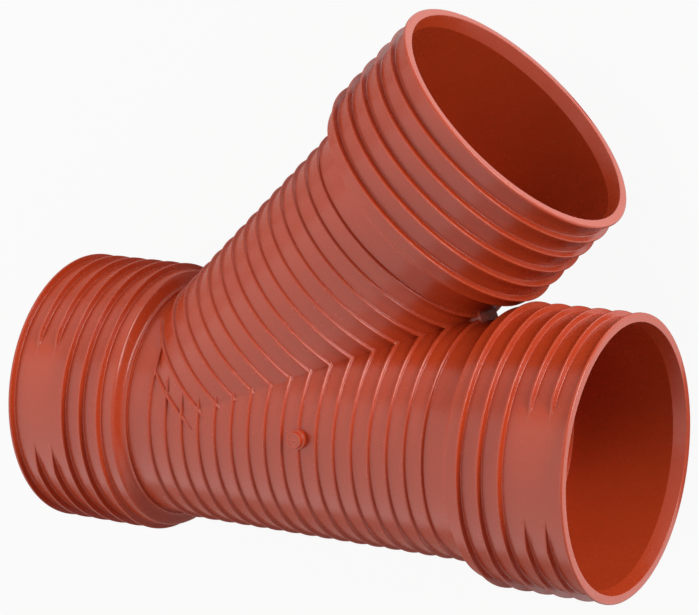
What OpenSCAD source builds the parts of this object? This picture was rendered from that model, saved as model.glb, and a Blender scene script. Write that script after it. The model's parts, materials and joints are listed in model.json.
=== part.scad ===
// Y-connector for corrugated drain pipe: a straight run with a branch of the same bore, and a
// ribbed socket on each of its three ends, moulded as one piece.
// The origin is on the axis of the run, in the plane where the inlet pipe seats on its stop.
// The run lies along +X from the inlet to the outlet, the branch leans from it towards +Y, and +Z is up.

/* [Pipe] */
// Radius of the smooth bore through the run and the branch
bore_r = 100; // [92:1:104]
// Thickness of the body wall between its ribs
body_wall = 5.2; // [4:0.2:7]

/* [Layout] */
// Angle between the outlet and the branch
branch_angle = 45; // [42:1:60]
// Gap between the outlet socket and the branch socket, where their ribs come closest
crotch_gap = 1.6; // [1.2:0.1:12]
// Length of bare skin between the foot of the branch and the shoulder of the inlet socket
inlet_skin = 1; // [0.6:0.2:40]
// How much slimmer the branch is than the run between the sockets, on the radius
branch_relief = 0.3; // [0.2:0.1:2]
// How far the web that closes the crotch reaches past the meeting point of the rib crests
web_reach = 2.4; // [1.6:0.2:6]

/* [Body ribs] */
// Height of a body rib above the skin
body_rib_h = 2.2; // [1:0.1:4]
// Width of a body rib
body_rib_w = 3; // [1.4:0.1:4]
// Distance between body ribs
body_rib_pitch = 17.5; // [12:0.5:30]
// Distance from the crossing of the axes to the first body rib of each arm
first_rib = 13.3; // [8:0.1:16]
// Least distance between a body rib and the shoulder of a socket
rib_margin = 15; // [8:1:18]

/* [Sockets] */
// Bore radius of a socket, which the end of the pipe fills
socket_bore_r = 113; // [111:0.5:116]
// Depth of a socket from its face to the stop that the pipe seats on
socket_depth = 109; // [95:1:130]
// Thickness of a socket wall between its ribs
socket_wall = 5.6; // [4:0.2:7]
// Depth of the lead-in cone at the face
lead_in = 12; // [6:1:16]
// Widening of the lead-in cone at the face, on the radius
lead_in_rise = 3.2; // [1:0.2:4]
// Length of the cone that steps down from the socket bore to the pipe bore
stop_len = 5; // [3:0.5:8]
// Length of the shoulder that steps down from the socket skin to the body
shoulder_len = 7; // [5:0.5:10]
// Distance from the stop back to the outer edge of the shoulder
shoulder_back = 2.5; // [1.5:0.5:5]
// Length of the low collar between the shoulder and the body skin
collar_len = 1.5; // [1:0.1:4]

/* [Socket ribs] */
// Number of ribs on a socket, behind the one at its rim
socket_ribs = 5; // [3:1:7]
// Height of a socket rib above the skin
socket_rib_h = 5.4; // [3:0.1:7]
// Width of a socket rib at its crest
socket_rib_w = 2.2; // [1.6:0.1:4]
// Draft of a socket rib, which is its extra width at the foot on each side
socket_rib_draft = 0.7; // [0.3:0.1:1.4]
// Length of bare skin from the last rib to the shoulder
last_rib_land = 13; // [8:0.5:16]
// Width of the rib at the rim
rim_w = 2.8; // [2:0.1:5]
// Rounding of the outer edge of the rim
rim_round = 1.4; // [0.6:0.1:1.8]

/* [Plain field on the run sockets] */
// Ribs behind the rim that stop at the plain field
field_ribs = 2; // [1:1:3]
// Angle from the top to the end of the field on the side of the branch
field_high = 25; // [10:1:40]
// Angle from the top to the other end of the field
field_low = 19; // [10:1:40]
// Angle over which a rib rises from the field on the side of the branch
ramp_high = 8; // [4:1:20]
// Angle over which a rib rises from the field on the other side
ramp_low = 12; // [4:1:20]

/* [Moulding gate on top of the run] */
// Which rib of the run the gate stands on, where 0 is the first one past the crossing of the axes
gate_rib = 7; // [2:1:12]
// Radius of the gate stub
gate_r = 7.4; // [5:0.1:9]
// Height of the gate stub above the skin
gate_h = 8; // [6:0.5:12]
// Radius of the foot that the stub stands on
gate_foot_r = 9; // [7.6:0.1:12]
// Height of the foot above the skin
gate_foot_h = 3.6; // [2.4:0.1:5]
// Radius of the shallow dish in the face of the stub
gate_dish_r = 5.6; // [3:0.1:6.6]
// Depth of the dish
gate_dish = 0.5; // [0.2:0.1:1]
// Radius of the broken-off nub in the dish
gate_nub_r = 1.3; // [0.8:0.1:2]
// Height of the nub above the dish
gate_nub_h = 0.9; // [0.4:0.1:1.5]

/* [Hidden] */
$fn = 128;

// Overlap of solids that join and overshoot of cuts
eps = 1;

// Radii of the body and of a socket
body_r = bore_r + body_wall;
body_crest_r = body_r + body_rib_h;
branch_r = body_r - branch_relief;
branch_bore_r = bore_r - branch_relief;
socket_r = socket_bore_r + socket_wall;
rim_r = socket_r + socket_rib_h;

// Distances along a socket, from its face inwards
shoulder_at = socket_depth + shoulder_back;
collar_at = shoulder_at + shoulder_len;
socket_len = collar_at + collar_len;
last_rib_at = shoulder_at - last_rib_land;
rim_mid = rim_w / 2;
socket_rib_pitch = (last_rib_at - rim_mid) / socket_ribs;

// Arm lengths from the crossing of the axes to the faces: the outlet and the branch are as long as
// their sockets need to pass each other, and the inlet as short as the foot of the branch allows
half_angle = branch_angle / 2;
last_rib_x = (crotch_gap / 2 + rim_r * cos(half_angle)) / sin(half_angle);
arm_len = last_rib_x + last_rib_at;
foot_of_branch = body_crest_r * tan(half_angle);
inlet_len = foot_of_branch + inlet_skin + socket_len;
crossing_x = inlet_len - socket_depth;

// Numbers of the first and the last body rib on an arm, where rib 0 is the first past the crossing
first_run_rib = ceil((rib_margin - foot_of_branch - inlet_skin - first_rib) / body_rib_pitch);
last_arm_rib = floor((arm_len - socket_len - rib_margin - first_rib) / body_rib_pitch);

// Steps in each curved outline
round_steps = 3;
shoulder_steps = 7;

function body_rib_x(k) = first_rib + k * body_rib_pitch;
function socket_rib_x(k) = rim_mid + k * socket_rib_pitch;
function reversed(points) = [for (i = [len(points) - 1 : -1 : 0]) points[i]];

// Outline of one rib as [distance, radius], with its middle at x on a skin of radius r
function rib_outline(x, r, h, w, draft) = [
    [x - w / 2 - draft, r],
    [x - w / 2, r + h],
    [x + w / 2, r + h],
    [x + w / 2 + draft, r]
];

// Rounded outer edge of the rim
function rim_edge() = [
    for (i = [0 : round_steps])
        let (a = 90 * i / round_steps)
            [rim_round * (1 - sin(a)), rim_r - rim_round * (1 - cos(a))]
];

// Wave that falls from the socket skin to the collar
function shoulder_wave() = [
    for (i = [0 : shoulder_steps])
        let (u = i / shoulder_steps)
            [shoulder_at + shoulder_len * u, body_crest_r + (socket_r - body_crest_r) * (1 + cos(180 * u)) / 2]
];

// Outside of a socket from its face inwards to an arm of radius r, without the ribs next to the rim
// that stop at the plain field
function socket_outline(bare_ribs, r) = concat(
    reversed(rim_edge()),
    [[rim_w, rim_r], [rim_w + socket_rib_draft, socket_r]],
    [
        for (k = [bare_ribs + 1 : socket_ribs])
            each rib_outline(socket_rib_x(k), socket_r, socket_rib_h, socket_rib_w, socket_rib_draft)
    ],
    shoulder_wave(),
    [[socket_len, body_crest_r], [socket_len, r]]
);

// Inside of a socket from past its face to a bore of radius r
function bore_outline(r) = [
    [-eps, 0],
    [-eps, socket_bore_r + lead_in_rise * (1 + eps / lead_in)],
    [lead_in, socket_bore_r],
    [socket_depth, socket_bore_r],
    [socket_depth + stop_len, r]
];

// Body ribs of an arm of radius r, up to the shoulder at its end
function body_ribs_outline(from, r) = [
    for (k = [from : last_arm_rib])
        each rib_outline(body_rib_x(k), r, body_rib_h, body_rib_w, 0)
];

// Outlines of a socket turned to face the inlet or, at the end of an arm, the other way
function at_inlet(points) = [for (p = points) [p[0] - inlet_len, p[1]]];
function at_arm_end(points) = reversed([for (p = points) [arm_len - p[0], p[1]]]);

// Solid of revolution about the X axis from an outline of [distance, radius]
module turned(points) {
    rotate([90, 0, 90])
        rotate_extrude()
            polygon([for (p = points) [p[1], p[0]]]);
}

module run_outside() {
    turned(concat(
        [[-inlet_len, 0]],
        at_inlet(socket_outline(field_ribs, body_r)),
        body_ribs_outline(first_run_rib, body_r),
        at_arm_end(socket_outline(field_ribs, body_r)),
        [[arm_len, 0]]
    ));
}

module branch_outside() {
    rotate([0, 0, branch_angle])
        turned(concat(
            [[0, 0], [0, branch_r]],
            body_ribs_outline(0, branch_r),
            at_arm_end(socket_outline(0, branch_r)),
            [[arm_len, 0]]
        ));
}

module run_bore() {
    turned(concat(at_inlet(bore_outline(bore_r)), at_arm_end(bore_outline(bore_r))));
}

module branch_bore() {
    rotate([0, 0, branch_angle])
        turned(concat([[0, 0], [0, branch_bore_r]], at_arm_end(bore_outline(branch_bore_r))));
}

// Ring of one socket rib by itself, whose flanks go on into the wall
module socket_rib_ring(x) {
    deep = socket_rib_h + eps;
    turned(rib_outline(x, rim_r - deep, deep, socket_rib_w, socket_rib_draft * deep / socket_rib_h));
}

// Points of a ramp that starts inside the wall, leaves the skin at one angle, reaches the crests at
// another and goes on past them; angles are from the top towards the branch
function ramp(at_skin, at_crest) =
    let (
        low = socket_r * [sin(at_skin), cos(at_skin)],
        high = rim_r * [sin(at_crest), cos(at_crest)],
        rise = high - low
    )
        [low - rise / 8, high + rise];

// Prism that clears the plain field, with a ramp at each end
module field_cut(x0, x1) {
    translate([x0, 0, 0])
        rotate([90, 0, 90])
            linear_extrude(x1 - x0)
                polygon(concat(
                    [[0, 0]],
                    ramp(field_high, field_high + ramp_high),
                    [[0, 2 * rim_r]],
                    reversed(ramp(-field_low, -field_low - ramp_low))
                ));
}

// The ribs next to the rim of one run socket, broken by the plain field; x is a distance from the face
module field_rib_rings() {
    difference() {
        for (k = [1 : field_ribs])
            socket_rib_ring(socket_rib_x(k));
        field_cut(rim_w + socket_rib_draft, socket_rib_x(field_ribs) + socket_rib_w);
    }
}

// Web between the run and the branch, as high above and below the middle as their ribs meet each
// other past the meeting line of the skins
module crotch_web() {
    front = body_crest_r / sin(half_angle) + web_reach;
    in_wall = body_crest_r - (body_wall + body_rib_h) * 0.8;
    half_w = (front * sin(half_angle) - in_wall) / cos(half_angle);
    half_h = sqrt(pow(body_crest_r, 2) - pow(branch_r, 2));
    rotate([0, 0, half_angle])
        linear_extrude(2 * half_h, center = true)
            polygon([[in_wall / sin(half_angle), 0], [front, half_w], [front, -half_w]]);
}

module moulding_gate() {
    top = body_r + gate_h;
    translate([body_rib_x(gate_rib), 0, 0]) {
        translate([0, 0, bore_r + eps])
            cylinder(r = gate_foot_r, h = body_wall - eps + gate_foot_h);
        difference() {
            translate([0, 0, bore_r + eps])
                cylinder(r = gate_r, h = body_wall - eps + gate_h);
            translate([0, 0, top - gate_dish])
                cylinder(r = gate_dish_r, h = gate_dish + eps);
        }
        translate([0, 0, top - gate_dish - eps])
            cylinder(r = gate_nub_r, h = eps + gate_nub_h);
    }
}

// The whole moulding
module y_connector() {
    color("#b5482f")
        translate([crossing_x, 0, 0])
            difference() {
                union() {
                    run_outside();
                    branch_outside();
                    crotch_web();
                    translate([-inlet_len, 0, 0])
                        field_rib_rings();
                    translate([arm_len, 0, 0])
                        mirror([1, 0, 0])
                            field_rib_rings();
                    moulding_gate();
                }
                run_bore();
                branch_bore();
            }
}

y_connector();
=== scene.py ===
import json
import math

import bmesh
import bpy
import numpy as np
from bpy.props import FloatProperty, FloatVectorProperty, IntProperty, PointerProperty
from mathutils import Euler, Matrix, Vector


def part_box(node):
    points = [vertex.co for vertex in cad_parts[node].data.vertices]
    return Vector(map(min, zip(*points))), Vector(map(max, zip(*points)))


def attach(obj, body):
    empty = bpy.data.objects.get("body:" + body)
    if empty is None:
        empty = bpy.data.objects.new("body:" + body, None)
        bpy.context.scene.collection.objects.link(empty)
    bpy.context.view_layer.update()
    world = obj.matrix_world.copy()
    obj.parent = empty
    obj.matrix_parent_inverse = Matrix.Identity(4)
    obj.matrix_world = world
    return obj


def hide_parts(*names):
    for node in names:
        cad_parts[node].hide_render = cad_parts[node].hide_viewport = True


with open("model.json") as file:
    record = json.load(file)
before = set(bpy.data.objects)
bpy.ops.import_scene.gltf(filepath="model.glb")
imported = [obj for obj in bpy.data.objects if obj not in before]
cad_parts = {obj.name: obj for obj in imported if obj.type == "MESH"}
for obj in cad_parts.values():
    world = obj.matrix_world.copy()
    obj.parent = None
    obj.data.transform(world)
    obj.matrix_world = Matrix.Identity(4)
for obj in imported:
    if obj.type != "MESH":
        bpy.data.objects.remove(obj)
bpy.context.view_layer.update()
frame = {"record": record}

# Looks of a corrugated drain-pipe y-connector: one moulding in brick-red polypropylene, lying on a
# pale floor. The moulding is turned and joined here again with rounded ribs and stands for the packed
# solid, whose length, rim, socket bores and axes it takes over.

bl_info = {
    "name": "Corrugated pipe y-connector",
    "version": (1, 0, 0),
    "blender": (4, 5, 0),
    "location": "3D View > Sidebar > Y-connector",
    "description": "Builds the moulding, its plastic and the studio around it",
    "category": "Object",
}

NODE = "y_connector"
LOW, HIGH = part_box(NODE)
MOUNTS = {m["name"]: m for m in frame["record"]["mounts"]}
BRANCH_AXIS = MOUNTS["branch_socket"]["axis"]
BRANCH_STOP = MOUNTS["branch_socket"]["pos_m"]
BRANCH_ANGLE = math.atan2(BRANCH_AXIS[1], BRANCH_AXIS[0])
CROSSING = BRANCH_STOP[0] - BRANCH_STOP[1] / math.tan(BRANCH_ANGLE)
SOCKET_BORE = MOUNTS["outlet_socket"]["dims"]["r_mm"] / 1000
SOCKET_DEPTH = -LOW[0]
RIM_RADIUS = HIGH[2]
ARM_LENGTH = HIGH[0] - CROSSING
INLET_LENGTH = CROSSING - LOW[0]
FLOOR_HEIGHT = LOW[2]

PHOTO_WIDTH = 699
# How far a cutter reaches past the face that it opens
OVERSHOOT = 0.001
# Points closer than this are one point
SLIVER = 0.00002
# A corner that is flatter than this isn't rounded
FLAT_CORNER = math.radians(176)


def linear(hex_colour):
    """Linear RGB of an sRGB hex colour such as #B6401C."""
    parts = [int(hex_colour[i : i + 2], 16) / 255 for i in (1, 3, 5)]
    return [c / 12.92 if c <= 0.04045 else ((c + 0.055) / 1.055) ** 2.4 for c in parts]


def length(name, default, description):
    return FloatProperty(name=name, description=description, default=default, min=0, precision=4,
                         unit="LENGTH", subtype="DISTANCE")


def angle(name, degrees, description):
    return FloatProperty(name=name, description=description, default=math.radians(degrees),
                         unit="ROTATION", subtype="ANGLE")


def count(name, default, low, high, description):
    return IntProperty(name=name, description=description, default=default, min=low, max=high)


def fraction(name, default, description):
    return FloatProperty(name=name, description=description, default=default, min=0, max=1)


def power(name, default, description):
    return FloatProperty(name=name, description=description, default=default, min=0, unit="POWER")


def colour(name, hex_colour, description):
    return FloatVectorProperty(name=name, description=description, default=linear(hex_colour), size=3,
                               min=0, max=1, subtype="COLOR")


class MouldingSizes(bpy.types.PropertyGroup):
    bore: length("Bore", 0.100, "Radius of the smooth bore through the run")
    skin: length("Skin", 0.1046, "Radius of the run between its ribs")
    branch_relief: length("Branch relief", 0.0003, "How much slimmer the branch is than the run")
    body_rib_height: length("Body rib height", 0.0028, "Height of a body rib above the skin")
    body_rib_width: length("Body rib width", 0.0036, "Width of a body rib")
    body_rib_pitch: length("Body rib pitch", 0.0175, "Distance between body ribs")
    first_rib: length("First rib", 0.0133, "Distance from the crossing of the axes to the first body rib")
    rib_margin: length("Rib margin", 0.015, "Least distance between a body rib and a shoulder")
    inlet_skin: length("Inlet skin", 0.001, "Bare skin between the foot of the branch and the inlet socket")
    socket_skin: length("Socket skin", 0.1186, "Radius of a socket between its ribs")
    socket_ribs: count("Socket ribs", 5, 1, 9, "Ribs of a socket behind its rim")
    socket_rib_width: length("Socket rib width", 0.0022, "Width of a socket rib at its crest")
    socket_rib_draft: length("Socket rib draft", 0.0007, "Extra width of a socket rib's foot, each side")
    last_rib_land: length("Last rib land", 0.013, "Bare skin from the last socket rib to the shoulder")
    rim_width: length("Rim width", 0.0028, "Width of the rib at the rim")
    rim_round: length("Rim round", 0.0014, "Rounding of the outer edge of the rim")
    lip_round: length("Lip round", 0.0005, "Rounding of the inner edge of the face")
    lead_in: length("Lead-in", 0.012, "Depth of the lead-in cone at the face")
    lead_in_rise: length("Lead-in rise", 0.0032, "Widening of the lead-in cone at the face")
    lead_in_round: length("Lead-in round", 0.0015, "Rounding where the lead-in cone meets the socket bore")
    stop: length("Stop", 0.005, "Length of the cone down from the socket bore to the pipe bore")
    shoulder: length("Shoulder", 0.007, "Length of the shoulder behind a socket")
    shoulder_back: length("Shoulder back", 0.0025, "Distance from the stop to the shoulder's outer edge")
    collar: length("Collar", 0.0015, "Length of the low collar behind the shoulder")
    crest_round: length("Crest round", 0.0008, "Rounding of the crest of a socket rib")
    foot_round: length("Foot round", 0.0009, "Fillet at the foot of a rib")
    web_reach: length("Web reach", 0.0024, "How far the web in the crotch reaches past the rib crests")
    web_height: length("Web height", 0.015, "Half the height of the web in the crotch")
    field_ribs: count("Field ribs", 2, 0, 4, "Ribs that stop at the plain field")
    field_high: angle("Field high", 25, "Angle from the top to the plain field's end towards the branch")
    field_low: angle("Field low", 19, "Angle from the top to the plain field's other end")
    ramp_high: angle("Ramp high", 8, "Angle over which a rib rises from the field towards the branch")
    ramp_low: angle("Ramp low", 12, "Angle over which a rib rises from the field on the other side")
    gate_rib: count("Gate rib", 7, 0, 14, "Rib of the run that the gate stands on")
    gate_radius: length("Gate radius", 0.0074, "Radius of the gate stub")
    gate_height: length("Gate height", 0.0086, "Height of the gate stub above the skin")
    gate_foot_radius: length("Gate foot radius", 0.009, "Radius of the foot under the gate stub")
    gate_foot_height: length("Gate foot height", 0.0042, "Height of the foot above the skin")
    gate_dish_radius: length("Gate dish radius", 0.0056, "Radius of the dish in the face of the stub")
    gate_dish: length("Gate dish", 0.0005, "Depth of the dish")
    gate_nub_radius: length("Gate nub radius", 0.0013, "Radius of the broken-off nub in the dish")
    gate_nub_height: length("Gate nub height", 0.0009, "Height of the nub above the dish")
    gate_round: length("Gate round", 0.0006, "Rounding of the edges of the stub and its foot")
    steps_round: count("Steps round", 144, 24, 360, "Steps around an arm")


class PlasticLook(bpy.types.PropertyGroup):
    body: colour("Body", "#B6401C", "Main colour of the plastic")
    flow: colour("Flow", "#AF3A1A", "Slightly deeper colour where the melt flowed together")
    roughness: fraction("Roughness", 0.25, "Roughness of the polished skin")


class StudioLook(bpy.types.PropertyGroup):
    floor: colour("Floor", "#B4B4B2", "Colour of the floor")
    floor_white: fraction("Floor white", 0.93, "Share of white that the floor shows to the eye")
    floor_reflected: fraction("Floor reflected", 0.05, "Share of that white that reflections show")
    ambient: fraction("Ambient", 0.3, "Strength of the white surroundings on the object")
    key: power("Key", 150, "Power of the softbox beyond the mouths")
    fill: power("Fill", 13, "Power of the softbox beyond the inlet")
    top: power("Top", 38, "Power of the softbox overhead")
    panel: power("Panel", 3.4, "Power of each square metre of the lit panels on the floor")


def round_off(corners):
    """Outline of [distance, radius] through corners of [distance, radius, rounding], or [distance, radius,
    rounding, steps of the rounding]; half the shorter side next to a corner limits its rounding."""
    points = []
    for i, (x, r, rounding, *more) in enumerate(corners):
        here = np.array((x, r))
        steps = more[0] if more else 2
        if rounding <= 0 or i in (0, len(corners) - 1):
            points.append(here)
            continue
        before = np.array(corners[i - 1][:2]) - here
        after = np.array(corners[i + 1][:2]) - here
        long_before, long_after = np.linalg.norm(before), np.linalg.norm(after)
        before, after = before / long_before, after / long_after
        half = math.acos(max(-1, min(1, float(before @ after)))) / 2
        if 2 * half > FLAT_CORNER:
            points.append(here)
            continue
        run = min(rounding / math.tan(half), long_before / 2, long_after / 2)
        radius = run * math.tan(half)
        centre = here + (before + after) / np.linalg.norm(before + after) * radius / math.sin(half)
        start, end = here + before * run - centre, here + after * run - centre
        for k in range(steps + 1):
            mix = start * (1 - k / steps) + end * (k / steps)
            points.append(centre + mix / np.linalg.norm(mix) * radius)
    return np.array(points)


def socket_rib_corners(at, sizes):
    """Rib of a socket: a flat crest with rounded edges on drafted sides."""
    crest = sizes.socket_rib_width / 2
    foot = crest + sizes.socket_rib_draft
    return [
        (at - foot, sizes.socket_skin, sizes.foot_round),
        (at - crest, RIM_RADIUS, sizes.crest_round, 3),
        (at + crest, RIM_RADIUS, sizes.crest_round, 3),
        (at + foot, sizes.socket_skin, sizes.foot_round),
    ]


def bead_corners(at, skin, sizes):
    """Rib of the body: a bead, half an ellipse with fillets at its feet."""
    half, height = sizes.body_rib_width / 2, sizes.body_rib_height
    bead_steps = 6
    turns = [math.pi * k / bead_steps for k in range(1, bead_steps)]
    return [
        (at - half, skin, sizes.foot_round),
        *((at - half * math.cos(a), skin + height * math.sin(a), 0) for a in turns),
        (at + half, skin, sizes.foot_round),
    ]


def socket_rib_places(sizes):
    """Distances from the face of a socket to the middles of its ribs, the one at the rim first."""
    last = SOCKET_DEPTH + sizes.shoulder_back - sizes.last_rib_land
    pitch = (last - sizes.rim_width / 2) / sizes.socket_ribs
    return [sizes.rim_width / 2 + k * pitch for k in range(sizes.socket_ribs + 1)]


def socket_length(sizes):
    return SOCKET_DEPTH + sizes.shoulder_back + sizes.shoulder + sizes.collar


def socket_corners(sizes, arm_skin):
    """Outside of a socket from its face inwards to an arm."""
    crest = sizes.skin + sizes.body_rib_height
    shoulder_at = SOCKET_DEPTH + sizes.shoulder_back
    rim_back_round = 0.6 * sizes.crest_round
    corners = [
        (0, SOCKET_BORE - 2 * OVERSHOOT, 0),
        (0, RIM_RADIUS, sizes.rim_round, 3),
        (sizes.rim_width, RIM_RADIUS, rim_back_round),
        (sizes.rim_width + sizes.socket_rib_draft, sizes.socket_skin, sizes.foot_round),
    ]
    for at in socket_rib_places(sizes)[1:]:
        corners += socket_rib_corners(at, sizes)
    shoulder_steps = 9
    for k in range(shoulder_steps + 1):
        share = k / shoulder_steps
        fall = (1 + math.cos(math.pi * share)) / 2
        radius = crest + (sizes.socket_skin - crest) * fall
        corners.append((shoulder_at + sizes.shoulder * share, radius, 0))
    corners += [
        (socket_length(sizes), crest, sizes.crest_round / 2),
        (socket_length(sizes), arm_skin, sizes.foot_round / 2),
    ]
    return corners


def body_rib_corners(sizes, arm_skin, from_inlet):
    """Ribs of an arm up to the socket at its end; those of the run start at the inlet socket."""
    foot_of_branch = (sizes.skin + sizes.body_rib_height) * math.tan(BRANCH_ANGLE / 2)
    room_to_inlet = foot_of_branch + sizes.inlet_skin - sizes.rib_margin
    room_to_end = ARM_LENGTH - socket_length(sizes) - sizes.rib_margin
    first = math.ceil((-room_to_inlet - sizes.first_rib) / sizes.body_rib_pitch) if from_inlet else 0
    last = math.floor((room_to_end - sizes.first_rib) / sizes.body_rib_pitch)
    corners = []
    for k in range(first, last + 1):
        corners += bead_corners(body_rib_place(sizes, k), arm_skin, sizes)
    return corners


def body_rib_place(sizes, number):
    return sizes.first_rib + number * sizes.body_rib_pitch


def at_arm_end(corners):
    """The same outline turned to face the end of an arm."""
    return [(ARM_LENGTH - x, *rest) for x, *rest in reversed(corners)]


def at_inlet(corners):
    return [(x - INLET_LENGTH, *rest) for x, *rest in corners]


def socket_bore_corners(sizes, pipe_bore):
    """Inside of a socket from past its face to the pipe bore, with the inner edge of the face rounded."""
    mouth = SOCKET_BORE + sizes.lead_in_rise
    lip = sizes.lip_round
    # An arc's middle lies this share of its radius from both sides of the corner
    arc_middle = 0.3
    stop_foot_round = 0.4 * sizes.foot_round
    return [
        (-OVERSHOOT, 0, 0),
        (-OVERSHOOT, mouth + 2 * lip, 0),
        (0, mouth + lip, 0),
        (arc_middle * lip, mouth + arc_middle * lip, 0),
        (lip, mouth - lip * sizes.lead_in_rise / sizes.lead_in, 0),
        (sizes.lead_in, SOCKET_BORE, sizes.lead_in_round),
        (SOCKET_DEPTH, SOCKET_BORE, stop_foot_round),
        (SOCKET_DEPTH + sizes.stop, pipe_bore, sizes.foot_round),
    ]


def field_mask(sizes, turns):
    """How much of its height a broken rib has at each angle, 0 in the plain field and 1 past its ramps."""
    turns = np.degrees((turns + math.pi) % (2 * math.pi) - math.pi)
    high = (turns - math.degrees(sizes.field_high)) / math.degrees(sizes.ramp_high)
    low = (-turns - math.degrees(sizes.field_low)) / math.degrees(sizes.ramp_low)
    return np.clip(np.maximum(high, low), 0, 1)


def broken_rib_points(sizes, outline):
    """Which points of the run's outline belong to the ribs that stop at the plain fields."""
    places = socket_rib_places(sizes)[1 : sizes.field_ribs + 1]
    fillet_reach = 1.2 * sizes.foot_round
    half = sizes.socket_rib_width / 2 + sizes.socket_rib_draft + fillet_reach
    chosen = np.zeros(len(outline), bool)
    for place in places:
        for at in (place - INLET_LENGTH, ARM_LENGTH - place):
            chosen |= np.abs(outline[:, 0] - at) < half
    return chosen


def turned_mesh(name, outline, steps, broken=None, skin=0, mask=None):
    """Closed mesh turned about the X axis from an outline that starts and ends on the axis. Where broken
    is true, the height above the skin is scaled by the mask at each angle."""
    turns = (np.arange(steps) + 0.5) * 2 * math.pi / steps
    inner = outline[1:-1]
    radii = np.repeat(inner[:, 1:2], steps, axis=1)
    if broken is not None:
        lowered = skin + (radii - skin) * mask(turns)[None, :]
        radii = np.where(broken[1:-1][:, None], lowered, radii)
    x = np.repeat(inner[:, 0:1], steps, axis=1)
    y, z = radii * np.sin(turns), radii * np.cos(turns)
    vertices = [tuple(v) for v in np.stack((x, y, z), axis=2).reshape(-1, 3)]
    rows = len(inner)
    faces = []
    for i in range(rows - 1):
        for j in range(steps):
            k = (j + 1) % steps
            faces.append((i * steps + j, (i + 1) * steps + j, (i + 1) * steps + k, i * steps + k))
    for row, pole, flip in ((0, outline[0], False), (rows - 1, outline[-1], True)):
        centre = len(vertices)
        vertices.append((pole[0], 0.0, 0.0))
        for j in range(steps):
            a, b = row * steps + j, row * steps + (j + 1) % steps
            faces.append((centre, b, a) if flip else (centre, a, b))
    mesh = bpy.data.meshes.new(name)
    mesh.from_pydata(vertices, [], faces)
    mesh.validate()
    return mesh


def solid(name, mesh, place=None):
    body = bpy.data.objects.new(name, mesh)
    bpy.context.scene.collection.objects.link(body)
    if place is not None:
        mesh.transform(place)
    return body


def run_place():
    """The run's axis starts at the crossing of the axes."""
    return Matrix.Translation((CROSSING, 0, 0))


def branch_place():
    """The branch's axis leaves the run's at the crossing."""
    return Matrix.Translation((CROSSING, 0, 0)) @ Matrix.Rotation(BRANCH_ANGLE, 4, "Z")


def crotch_web(sizes):
    """Web that closes the crotch, as a prism across the line between the run and the branch."""
    half = BRANCH_ANGLE / 2
    crest = sizes.skin + sizes.body_rib_height
    depth_in_wall = 0.8
    front = crest / math.sin(half) + sizes.web_reach
    in_wall = crest - (crest - sizes.bore) * depth_in_wall
    width = (front * math.sin(half) - in_wall) / math.cos(half)
    ends = [(in_wall / math.sin(half), 0), (front, -width), (front, width)]
    vertices = [(x, y, z) for z in (-sizes.web_height, sizes.web_height) for x, y in ends]
    faces = [(0, 2, 1), (3, 4, 5), (0, 1, 4, 3), (1, 2, 5, 4), (2, 0, 3, 5)]
    mesh = bpy.data.meshes.new("crotch_web")
    mesh.from_pydata(vertices, [], faces)
    return solid("crotch_web", mesh, Matrix.Translation((CROSSING, 0, 0)) @ Matrix.Rotation(half, 4, "Z"))


def gate_solid(sizes):
    """Stub that the melt came in through, with its foot, dish and broken-off nub."""
    base = sizes.bore + OVERSHOOT
    foot = sizes.skin + sizes.gate_foot_height
    top = sizes.skin + sizes.gate_height
    dish = top - sizes.gate_dish
    nub = dish + sizes.gate_nub_height
    nub_taper = 0.7
    edge, small_edge = sizes.gate_round, sizes.gate_round / 2
    outline = round_off([
        (base, 0, 0),
        (base, sizes.gate_foot_radius, 0),
        (foot, sizes.gate_foot_radius, edge),
        (foot, sizes.gate_radius, edge),
        (top, sizes.gate_radius, edge),
        (top, sizes.gate_dish_radius, small_edge),
        (dish, sizes.gate_dish_radius - sizes.gate_dish, small_edge),
        (dish, sizes.gate_nub_radius, small_edge),
        (nub, nub_taper * sizes.gate_nub_radius, small_edge),
        (nub, 0, 0),
    ])
    mesh = turned_mesh("gate", outline, sizes.steps_round // 3)
    upright = Matrix.Rotation(-math.pi / 2, 4, "Y")
    place = Matrix.Translation((CROSSING + body_rib_place(sizes, sizes.gate_rib), 0, 0)) @ upright
    return solid("gate", mesh, place)


def combine(body, parts, name):
    """One mesh of the body with each (operation, part) applied in turn; the parts are used up, and the
    slivers left where surfaces cross are closed."""
    for operation, part in parts:
        cut = body.modifiers.new(part.name, "BOOLEAN")
        cut.operation, cut.object, cut.solver = operation, part, "MANIFOLD"
    bpy.context.view_layer.update()
    graph = bpy.context.evaluated_depsgraph_get()
    mesh = bpy.data.meshes.new_from_object(body.evaluated_get(graph))
    mesh.name = name
    tidied = bmesh.new()
    tidied.from_mesh(mesh)
    bmesh.ops.remove_doubles(tidied, verts=tidied.verts, dist=SLIVER)
    bmesh.ops.dissolve_degenerate(tidied, edges=tidied.edges, dist=SLIVER)
    tidied.to_mesh(mesh)
    tidied.free()
    for used in [body] + [part for _, part in parts]:
        old = used.data
        bpy.data.objects.remove(used)
        bpy.data.meshes.remove(old)
    return mesh


def smooth_shaded(piece):
    """Smooth shading that keeps the flats flat and breaks at edges sharper than the angle."""
    sharp_angle = math.radians(50)
    large_face_weight = 60
    mesh = piece.data
    mesh.shade_smooth()
    mesh.set_sharp_from_angle(angle=sharp_angle)
    flats = piece.modifiers.new("flats", "WEIGHTED_NORMAL")
    flats.keep_sharp = True
    flats.weight = large_face_weight
    graph = bpy.context.evaluated_depsgraph_get()
    shaded = bpy.data.meshes.new_from_object(piece.evaluated_get(graph))
    piece.modifiers.clear()
    piece.data = shaded
    bpy.data.meshes.remove(mesh)


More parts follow.
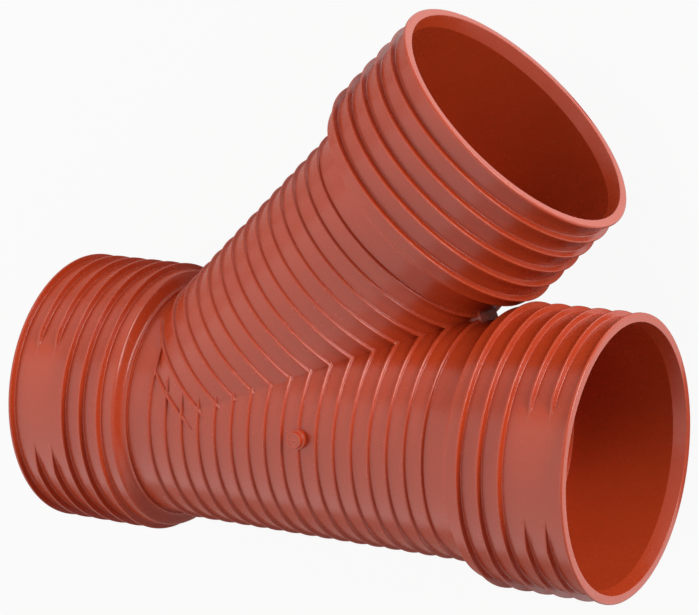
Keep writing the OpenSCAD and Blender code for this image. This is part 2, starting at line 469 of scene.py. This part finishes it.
def node(tree, kind, inputs=None, **settings):
    """Adds a shader node with its settings; an input is a value or the socket that feeds it."""
    made = tree.nodes.new(kind)
    for key, value in settings.items():
        setattr(made, key, value)
    for key, value in (inputs or {}).items():
        if isinstance(value, bpy.types.NodeSocket):
            tree.links.new(value, made.inputs[key])
        else:
            made.inputs[key].default_value = value
    return made


def new_tree(owner):
    owner.use_nodes = True
    owner.node_tree.nodes.clear()
    return owner.node_tree


def moulded_polypropylene(look):
    """Polypropylene, injection moulded in a polished steel mould and coloured through with iron-oxide red.
    It gives the eye a deep brick red under a soft wet-looking shine, whose edges wander a little because
    the skin isn't quite flat."""
    material = bpy.data.materials.new("polypropylene_moulded_brick_red")
    tree = new_tree(material)
    place = node(tree, "ShaderNodeTexCoord").outputs["Object"]
    # Flow clouds about 60 mm across
    clouds = node(tree, "ShaderNodeTexNoise",
                  {"Vector": place, "Scale": 1 / 0.060, "Detail": 2.0, "Roughness": 0.5})
    tone = node(tree, "ShaderNodeMix",
                {"Factor": clouds.outputs["Fac"], "A": (*look.body, 1), "B": (*look.flow, 1)},
                data_type="RGBA")
    # Polish that varies over some 8 mm, a little more towards dull than towards bright
    polish = node(tree, "ShaderNodeTexNoise",
                  {"Vector": place, "Scale": 1 / 0.008, "Detail": 3.0, "Roughness": 0.6})
    shine = node(tree, "ShaderNodeMapRange",
                 {"Value": polish.outputs["Fac"], "From Min": 0.3, "From Max": 0.7,
                  "To Min": look.roughness - 0.03, "To Max": look.roughness + 0.04})
    # Slow waves of the skin, some 25 mm long and less than a tenth of a millimetre high
    waves = node(tree, "ShaderNodeTexNoise",
                 {"Vector": place, "Scale": 1 / 0.025, "Detail": 1.0, "Roughness": 0.4})
    wavy = node(tree, "ShaderNodeBump",
                {"Height": waves.outputs["Fac"], "Strength": 1.0, "Distance": 0.00010})
    surface = node(tree, "ShaderNodeBsdfPrincipled",
                   {"Base Color": tone.outputs["Result"], "Metallic": 0.0, "IOR": 1.49,
                    "Roughness": shine.outputs["Result"], "Normal": wavy.outputs["Normal"]})
    node(tree, "ShaderNodeOutputMaterial", {"Surface": surface.outputs["BSDF"]})
    return material


class OBJECT_OT_moulding(bpy.types.Operator):
    """Build the moulding with its ribs, sockets, plain fields, gate and bores"""

    bl_idname = "object.y_connector_moulding"
    bl_label = "Moulding"

    def execute(self, context):
        sizes = context.scene.moulding_sizes
        steps = sizes.steps_round
        branch_skin = sizes.skin - sizes.branch_relief
        branch_bore = sizes.bore - sizes.branch_relief

        run = round_off([(-INLET_LENGTH, 0, 0)] + at_inlet(socket_corners(sizes, sizes.skin))
                        + body_rib_corners(sizes, sizes.skin, True)
                        + at_arm_end(socket_corners(sizes, sizes.skin)) + [(ARM_LENGTH, 0, 0)])
        run_mesh = turned_mesh("run", run, steps, broken_rib_points(sizes, run), sizes.socket_skin,
                               lambda turns: field_mask(sizes, turns))
        branch = round_off([(0, 0, 0), (0, branch_skin, 0)] + body_rib_corners(sizes, branch_skin, False)
                           + at_arm_end(socket_corners(sizes, branch_skin)) + [(ARM_LENGTH, 0, 0)])
        branch_mesh = turned_mesh("branch", branch, steps)
        run_hole = round_off(at_inlet(socket_bore_corners(sizes, sizes.bore))
                             + at_arm_end(socket_bore_corners(sizes, sizes.bore)))
        run_bore_mesh = turned_mesh("run_bore", run_hole, steps)
        branch_hole = round_off([(0, 0, 0), (0, branch_bore, 0)]
                                + at_arm_end(socket_bore_corners(sizes, branch_bore)))
        branch_bore_mesh = turned_mesh("branch_bore", branch_hole, steps)
        mesh = combine(solid("run", run_mesh, run_place()), [
            ("UNION", solid("branch", branch_mesh, branch_place())),
            ("UNION", crotch_web(sizes)),
            ("UNION", gate_solid(sizes)),
            ("DIFFERENCE", solid("run_bore", run_bore_mesh, run_place())),
            ("DIFFERENCE", solid("branch_bore", branch_bore_mesh, branch_place())),
        ], "moulding")
        if not mesh.polygons:
            raise RuntimeError("the moulding came out empty")
        moulding = bpy.data.objects.new("moulding", mesh)
        context.scene.collection.objects.link(moulding)
        smooth_shaded(moulding)
        # The joins leave the mesh with an empty slot, which would hide the plastic
        moulding.data.materials.clear()
        moulding.data.materials.append(moulded_polypropylene(context.scene.plastic_look))
        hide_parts(NODE)
        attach(moulding, "root")
        print("moulding:", len(moulding.data.polygons), "faces,",
              sum(len(p.vertices) - 2 for p in moulding.data.polygons), "triangles")
        return {"FINISHED"}


def floor_surface(look):
    """Pale grey painted board, matt: it takes the object's shadow, and shows white to the eye."""
    material = bpy.data.materials.new("painted_board_pale_grey")
    tree = new_tree(material)
    paint = node(tree, "ShaderNodeBsdfDiffuse", {"Color": (*look.floor, 1)})
    white = node(tree, "ShaderNodeEmission", {"Color": (1, 1, 1, 1), "Strength": 1.0})
    seen = seen_ray(tree, look.floor_reflected)
    white_share = node(tree, "ShaderNodeMath", {0: seen, 1: look.floor_white}, operation="MULTIPLY")
    mixed = node(tree, "ShaderNodeMixShader",
                 {"Fac": white_share.outputs[0], 1: paint.outputs[0], 2: white.outputs[0]})
    node(tree, "ShaderNodeOutputMaterial", {"Surface": mixed.outputs[0]})
    return material


def seen_ray(tree, reflected=1.0):
    """1 for a ray from the camera or a transmission, the reflected share for a ray from a reflection, and 0
    for the light on the object."""
    path = node(tree, "ShaderNodeLightPath")
    glossy = node(tree, "ShaderNodeMath", {0: path.outputs["Is Glossy Ray"], 1: reflected},
                  operation="MULTIPLY")
    first = node(tree, "ShaderNodeMath", {0: path.outputs["Is Camera Ray"], 1: glossy.outputs[0]},
                 operation="MAXIMUM")
    both = node(tree, "ShaderNodeMath", {0: first.outputs[0], 1: path.outputs["Is Transmission Ray"]},
                operation="MAXIMUM")
    return both.outputs[0]


def plain_floor(look):
    """Floor that reaches past every view, at the height the moulding lies on."""
    reach = 6.0
    corners = [(-reach, -reach), (reach, -reach), (reach, reach), (-reach, reach)]
    mesh = bpy.data.meshes.new("floor")
    mesh.from_pydata([(x, y, FLOOR_HEIGHT) for x, y in corners], [], [(0, 1, 2, 3)])
    mesh.materials.append(floor_surface(look))
    solid("floor", mesh)


def area_lamp(name, size, watts):
    lamp = bpy.data.lights.new(name, "AREA")
    lamp.shape, lamp.energy = "RECTANGLE", watts
    lamp.size, lamp.size_y = size
    box = bpy.data.objects.new(name, lamp)
    bpy.context.scene.collection.objects.link(box)
    return box


def softboxes(look):
    """Large soft lamps turned to the middle of the moulding. Only those that are true in reflections show
    in its shine."""
    centre = Vector(((LOW[0] + HIGH[0]) / 2, (LOW[1] + HIGH[1]) / 2, 0))
    for name, direction, distance, size, watts, in_reflections in (
        ("key_softbox", (0.84, 0.52, 0.10), 3.6, (2.8, 1.4), look.key, True),
        ("fill_softbox", (-0.70, 0.62, 0.35), 1.8, (1.4, 0.9), look.fill, False),
        ("top_softbox", (-0.51, -0.38, 0.77), 1.9, (3.6, 4.2), look.top, True),
    ):
        box = area_lamp(name, size, watts)
        away = Vector(direction).normalized()
        box.location = centre + away * distance
        box.rotation_euler = away.to_track_quat("Z", "Y").to_euler()
        box.visible_glossy = in_reflections


def floor_panels(look):
    """Lit panels that lie just above the floor before the two mouths and shine up. They show in the shine
    of the rims and light nothing else."""
    above_floor = 0.004
    for name, place, turn, size in (
        ("outlet_panel", (0.98, -0.05), 0, (1.03, 1.1)),
        ("branch_panel", (0.551, 0.778), BRANCH_ANGLE, (1.0, 0.7)),
    ):
        panel = area_lamp(name, size, look.panel * size[0] * size[1])
        panel.location = (*place, FLOOR_HEIGHT + above_floor)
        panel.rotation_euler = (math.pi, 0, turn)
        panel.visible_camera = panel.visible_diffuse = False


def white_surroundings(look):
    """World that lights the object softly and shows white to the eye and in reflections."""
    world = bpy.data.worlds.new("white_surroundings")
    bpy.context.scene.world = world
    tree = new_tree(world)
    ambient = node(tree, "ShaderNodeBackground", {"Color": (1, 1, 1, 1), "Strength": look.ambient})
    white = node(tree, "ShaderNodeBackground", {"Color": (1, 1, 1, 1), "Strength": 1.0})
    mixed = node(tree, "ShaderNodeMixShader",
                 {"Fac": seen_ray(tree), 1: ambient.outputs[0], 2: white.outputs[0]})
    node(tree, "ShaderNodeOutputWorld", {"Surface": mixed.outputs[0]})


def photo_camera():
    """Camera at the photograph's place, over the outlet and looking down on the branch."""
    focal_pixels = 2788.49
    # The photograph is framed a little below the camera's own axis
    shift_pixels = -60
    lens = bpy.data.cameras.new("camera")
    lens.sensor_fit, lens.sensor_width = "HORIZONTAL", 36.0
    lens.lens = focal_pixels / PHOTO_WIDTH * lens.sensor_width
    lens.shift_y = shift_pixels / PHOTO_WIDTH
    lens.clip_start, lens.clip_end = 0.05, 50
    camera = bpy.data.objects.new("camera", lens)
    camera.location = (1.45178, 0.45996, 2.10166)
    camera.rotation_euler = Euler([math.radians(a) for a in (-6.133, 31.4545, 1.792)], "XYZ")
    bpy.context.scene.collection.objects.link(camera)
    bpy.context.scene.camera = camera


class OBJECT_OT_studio(bpy.types.Operator):
    """Build the floor, the soft lights, the white surroundings and the camera"""

    bl_idname = "object.y_connector_studio"
    bl_label = "Studio"

    def execute(self, context):
        look = context.scene.studio_look
        plain_floor(look)
        softboxes(look)
        floor_panels(look)
        white_surroundings(look)
        photo_camera()
        context.scene.view_settings.view_transform = "Standard"
        return {"FINISHED"}


class VIEW3D_PT_y_connector(bpy.types.Panel):
    bl_label = "Y-connector"
    bl_idname = "VIEW3D_PT_y_connector"
    bl_space_type = "VIEW_3D"
    bl_region_type = "UI"
    bl_category = "Y-connector"

    def draw(self, context):
        layout = self.layout
        for operator, group in (
            (OBJECT_OT_moulding, context.scene.moulding_sizes),
            (None, context.scene.plastic_look),
            (OBJECT_OT_studio, context.scene.studio_look),
        ):
            box = layout.box()
            for name in group.bl_rna.properties.keys():
                if name not in ("rna_type", "name"):
                    box.prop(group, name)
            if operator:
                box.operator(operator.bl_idname)


CLASSES = (MouldingSizes, PlasticLook, StudioLook, OBJECT_OT_moulding, OBJECT_OT_studio,
           VIEW3D_PT_y_connector)


def register():
    for made in CLASSES:
        bpy.utils.register_class(made)
    bpy.types.Scene.moulding_sizes = PointerProperty(type=MouldingSizes)
    bpy.types.Scene.plastic_look = PointerProperty(type=PlasticLook)
    bpy.types.Scene.studio_look = PointerProperty(type=StudioLook)


def unregister():
    del bpy.types.Scene.studio_look
    del bpy.types.Scene.plastic_look
    del bpy.types.Scene.moulding_sizes
    for made in reversed(CLASSES):
        bpy.utils.unregister_class(made)


def main():
    register()
    bpy.ops.object.y_connector_moulding()
    bpy.ops.object.y_connector_studio()


if __name__ == "__main__":
    main()
